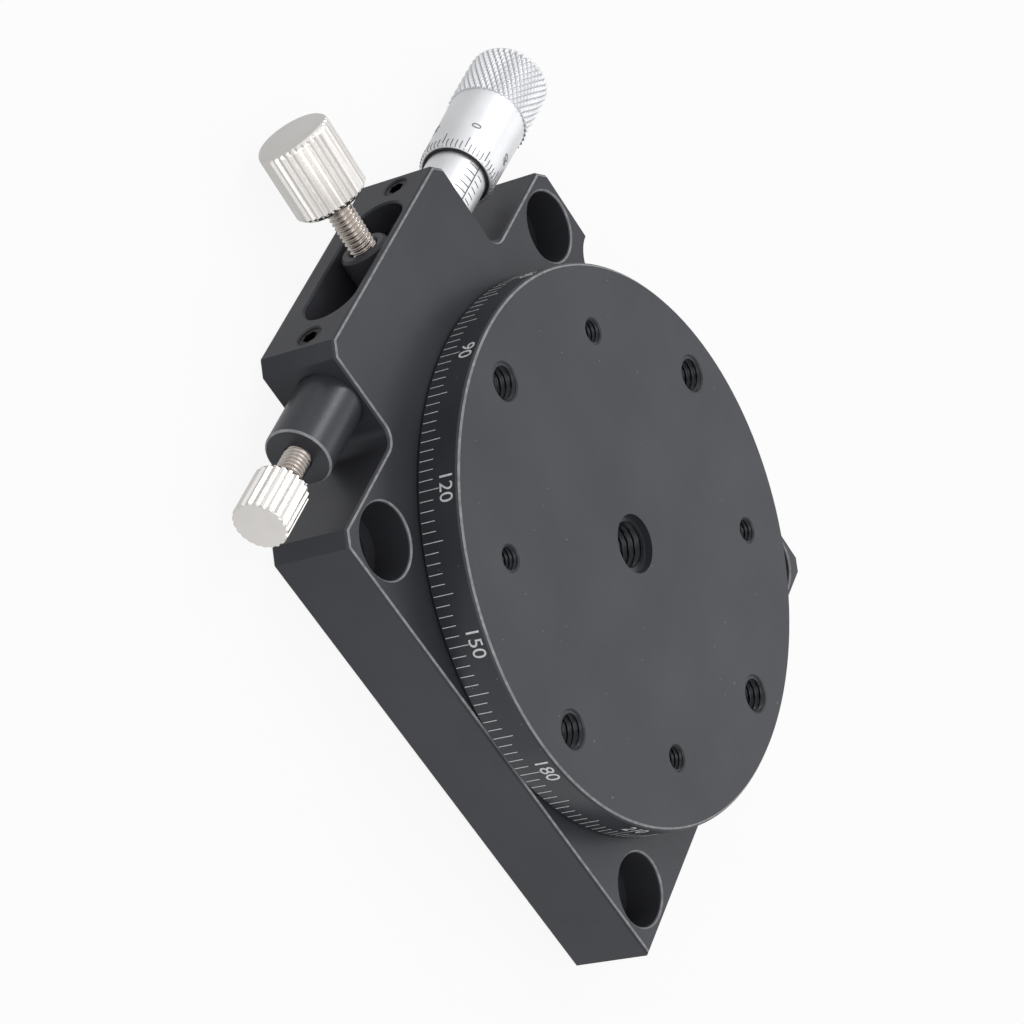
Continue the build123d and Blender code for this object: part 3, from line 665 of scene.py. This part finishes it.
def flat_text(text):
    """Numerals as a thin solid that lies flat, about one unit tall."""
    curve = bpy.data.curves.new("numeral", "FONT")
    curve.body = text
    curve.size = 1.0
    curve.align_x = "CENTER"
    curve.resolution_u = 6
    curve.extrude = 0.5
    holder = bpy.data.objects.new("numeral", curve)
    bpy.context.scene.collection.objects.link(holder)
    bpy.context.view_layer.update()
    mesh = bpy.data.meshes.new_from_object(holder.evaluated_get(bpy.context.evaluated_depsgraph_get()))
    bpy.data.objects.remove(holder)
    bpy.data.curves.remove(curve)
    flat = bmesh.new()
    flat.from_mesh(mesh)
    bpy.data.meshes.remove(mesh)
    bmesh.ops.remove_doubles(flat, verts=flat.verts, dist=1e-5)
    bmesh.ops.triangulate(flat, faces=flat.faces)
    for _ in range(2):
        long_edges = []
        for edge in flat.edges:
            level = abs(edge.verts[0].co.z - edge.verts[1].co.z) < 0.1
            if level and edge.calc_length() > LONGEST_EDGE:
                long_edges.append(edge)
        bmesh.ops.subdivide_edges(flat, edges=long_edges, cuts=1)
        bmesh.ops.triangulate(flat, faces=flat.faces)
    return flat


def add_text(bm, text, size, width, wrap_point, rise=MARK_LIFT):
    """Numerals as thin solids: wrap_point takes (right, up, out) in millimetres."""
    flat = flat_text(text)
    low = min(vertex.co.y for vertex in flat.verts)
    high = max(vertex.co.y for vertex in flat.verts)
    grow = size / (high - low)
    made = {}
    for vertex in flat.verts:
        lift = rise if vertex.co.z > 0 else -MARK_DEPTH
        up = (vertex.co.y - (low + high) / 2) * grow
        made[vertex] = bm.verts.new(wrap_point(vertex.co.x * grow * width, up, lift))
    for face in flat.faces:
        bm.faces.new([made[vertex] for vertex in face.verts])
    flat.free()


def finish_marks(name, bm, material, body):
    piece(name, finished_mesh(name, bm), material, body)


# Degree scale round the table's side: a line each 2 degrees, a long one each 10, a number each 30
SCALE_ZERO = -174.42
TICK_START = TABLE_BOTTOM + 0.12
SHORT_TICK = 1.67
LONG_TICK = 2.4
TICK_TURN = degrees(0.038 / TABLE_RADIUS)
NUMBER_HEIGHT = 1.6
NUMBER_WIDTH = 0.95
NUMBER_MIDDLE = TABLE_BOTTOM + 3.4

ticks = bmesh.new()
for degree in range(0, 360, 2):
    length = SHORT_TICK if degree % 10 else LONG_TICK
    middle = SCALE_ZERO + degree
    add_patch(ticks, wrap_rim, (middle - TICK_TURN, middle + TICK_TURN), (TICK_START, TICK_START + length))
finish_marks("table_scale_lines", ticks, scale_paint, "table")

numbers = bmesh.new()
for degree in range(0, 360, 30):
    def on_rim(right, up, lift, middle=SCALE_ZERO + degree):
        return wrap_rim(middle + degrees(right / TABLE_RADIUS), NUMBER_MIDDLE + up, lift)

    add_text(numbers, str(degree), NUMBER_HEIGHT, NUMBER_WIDTH, on_rim)
finish_marks("table_scale_numbers", numbers, scale_paint, "table")

# Sleeve: the long line, millimetres on one side of it and half millimetres on the other
DATUM = 86.75
DATUM_LINE = (-24.2, -15.45)
DATUM_TURN = degrees(0.055 / SLEEVE_RADIUS)
FIRST_MM = -15.87
MM_LINES = 8
LONG_REACH = 27.0
SHORT_REACH = 22.0
HALF_MM_TURNS = (DATUM + 5.0, DATUM + 21.0)
LINE_HALF = 0.05

sleeve_marks = bmesh.new()
add_patch(sleeve_marks, wrap_sleeve, (DATUM - DATUM_TURN, DATUM + DATUM_TURN), DATUM_LINE, rise=FINE_LIFT)
for k in range(MM_LINES):
    middle = FIRST_MM - k
    reach = LONG_REACH if k % 5 == 1 else SHORT_REACH
    line = (middle - LINE_HALF, middle + LINE_HALF)
    add_patch(sleeve_marks, wrap_sleeve, (DATUM - reach, DATUM), line, (6, 1), FINE_LIFT)
    line = (middle - 0.5 - LINE_HALF, middle - 0.5 + LINE_HALF)
    add_patch(sleeve_marks, wrap_sleeve, HALF_MM_TURNS, line, (4, 1), FINE_LIFT)
finish_marks("sleeve_scale", sleeve_marks, dark_mark, "base")

# Thimble: fifty lines round the mouth, each fifth one long, and a number each tenth
THIMBLE_LINES = 50
THIMBLE_ZERO = 46.5
LINE_TURN = degrees(0.045 / (MOUTH_RADIUS + BEVEL))
LINE_START = MOUTH_X - 0.04
SHORT_END = -22.5
LONG_END = -23.4
THIMBLE_NUMBER_PLACE = -25.4
THIMBLE_NUMBER_HEIGHT = 1.07

thimble_marks = bmesh.new()
thimble_numbers = bmesh.new()
for k in range(THIMBLE_LINES):
    middle = THIMBLE_ZERO - 360 / THIMBLE_LINES * k
    end = SHORT_END if k % 5 else LONG_END
    turns = (middle - LINE_TURN, middle + LINE_TURN)
    add_patch(thimble_marks, wrap_thimble, turns, (end, LINE_START), (1, 6), FINE_LIFT)
    if k % 10:
        continue

    def on_thimble(right, up, lift, middle=middle):
        along = THIMBLE_NUMBER_PLACE - right
        return wrap_thimble(middle - degrees(up / thimble_radius(along)), along, lift)

    add_text(thimble_numbers, str(k), THIMBLE_NUMBER_HEIGHT, 1.0, on_thimble, FINE_LIFT)
finish_marks("thimble_scale", thimble_marks, dark_mark, "thimble")
finish_marks("thimble_numbers", thimble_numbers, faint_mark, "thimble")


# Floor, light and camera, in metres
FLOOR_HALF = 3.0
FLOOR_GAP = 0.0002
FLOOR_WHITE = 0.90
SHADED_FLOOR = (-0.05, 0.0)
SHADED_FLOOR_GLOSS = (0.58, 1.0)

floor_mesh = bpy.data.meshes.new("floor")
floor_bm = bmesh.new()
bmesh.ops.create_grid(floor_bm, x_segments=8, y_segments=8, size=FLOOR_HALF)
bmesh.ops.translate(floor_bm, verts=floor_bm.verts, vec=(0, 0, -FLOOR_GAP))
floor_bm.to_mesh(floor_mesh)
floor_bm.free()
floor = bpy.data.objects.new("floor", floor_mesh)
bpy.context.scene.collection.objects.link(floor)

# The camera sees the floor almost white with its shadow, and gloss sees it darker towards the front
floor_mat, floor_tree, floor_shader = node_material("floor", (0.62, 0.62, 0.62), 0.9, specular=0.1)
path = add(floor_tree, "ShaderNodeLightPath").outputs
seen = math_node(floor_tree, "MAXIMUM", path["Is Camera Ray"], path["Is Transmission Ray"])
seen = math_node(floor_tree, "MULTIPLY", seen, FLOOR_WHITE)
mirrored = path["Is Glossy Ray"]
floor_y = separate(floor_tree, object_coords(floor_tree))["Y"]
shade = map_range(floor_tree, floor_y, SHADED_FLOOR, SHADED_FLOOR_GLOSS)
in_gloss = math_node(floor_tree, "MULTIPLY", mirrored, shade)
elsewhere = math_node(floor_tree, "SUBTRACT", 1.0, mirrored)
glow = add(floor_tree, "ShaderNodeEmission")
glow.inputs["Color"].default_value = (1, 1, 1, 1)
floor_tree.links.new(math_node(floor_tree, "ADD", in_gloss, elsewhere), glow.inputs["Strength"])
blend = add(floor_tree, "ShaderNodeMixShader")
floor_tree.links.new(math_node(floor_tree, "MAXIMUM", seen, mirrored), blend.inputs[0])
floor_tree.links.new(floor_shader.outputs[0], blend.inputs[1])
floor_tree.links.new(glow.outputs[0], blend.inputs[2])
floor_tree.links.new(blend.outputs[0], floor_tree.nodes["Material Output"].inputs["Surface"])
floor_mesh.materials.append(floor_mat)

# Studio all round: brighter towards the top and the front, and white where the camera looks past the floor
world = bpy.data.worlds.new("studio")
bpy.context.scene.world = world
world.use_nodes = True
sky = world.node_tree
sky.nodes.clear()
sky_path = add(sky, "ShaderNodeLightPath")
direction = separate(sky, add(sky, "ShaderNodeTexCoord").outputs["Generated"])
height = map_range(sky, direction["Z"], (0.0, 0.8), (0.48, 0.92))
front = map_range(sky, direction["Y"], (-0.9, 0.2), (0.35, 0.0))
studio = add(sky, "ShaderNodeBackground")
sky.links.new(math_node(sky, "ADD", height, front, clamp=True), studio.inputs["Strength"])
white = add(sky, "ShaderNodeBackground")
white.inputs["Strength"].default_value = 1.0
for node in (studio, white):
    node.inputs["Color"].default_value = (1, 1, 1, 1)
sky_mix = add(sky, "ShaderNodeMixShader")
sky.links.new(sky_path.outputs["Is Camera Ray"], sky_mix.inputs[0])
sky.links.new(studio.outputs[0], sky_mix.inputs[1])
sky.links.new(white.outputs[0], sky_mix.inputs[2])
sky_out = add(sky, "ShaderNodeOutputWorld")
sky.links.new(sky_mix.outputs[0], sky_out.inputs["Surface"])


def softbox(name, place, size, power):
    """A square lamp that faces the object."""
    lamp = bpy.data.lights.new(name, "AREA")
    lamp.shape = "SQUARE"
    lamp.size = size
    lamp.energy = power
    holder = bpy.data.objects.new(name, lamp)
    bpy.context.scene.collection.objects.link(holder)
    holder.location = place
    holder.rotation_euler = (-Vector(place)).to_track_quat("-Z", "Y").to_euler()


softbox("key_light", (-0.42, 0.45, 0.5), size=0.5, power=0.6)
softbox("fill_light", (0.55, -0.1, 0.6), size=0.45, power=1.2)
softbox("side_light", (-0.5, -0.2, 0.55), size=0.22, power=1.0)

# The photograph's camera, fitted to the object's edges: its place, and its right, down and forward
CAMERA_LENS = 118.262
CAMERA_PLACE = Vector((0.238072, -0.172024, 0.204323))
CAMERA_RIGHT = Vector((-0.322414, 0.508376, 0.798500))
CAMERA_DOWN = Vector((0.662768, 0.723518, -0.193028))
CAMERA_FORWARD = Vector((-0.675861, 0.466985, -0.570208))

camera_data = bpy.data.cameras.new("camera")
camera_data.sensor_width = 36.0
camera_data.lens = CAMERA_LENS
camera = bpy.data.objects.new("camera", camera_data)
bpy.context.scene.collection.objects.link(camera)
camera_turn = Matrix((CAMERA_RIGHT, -CAMERA_DOWN, -CAMERA_FORWARD)).transposed().to_4x4()
camera.matrix_world = Matrix.Translation(CAMERA_PLACE) @ camera_turn
bpy.context.scene.camera = camera

bpy.context.scene.view_settings.view_transform = "Standard"
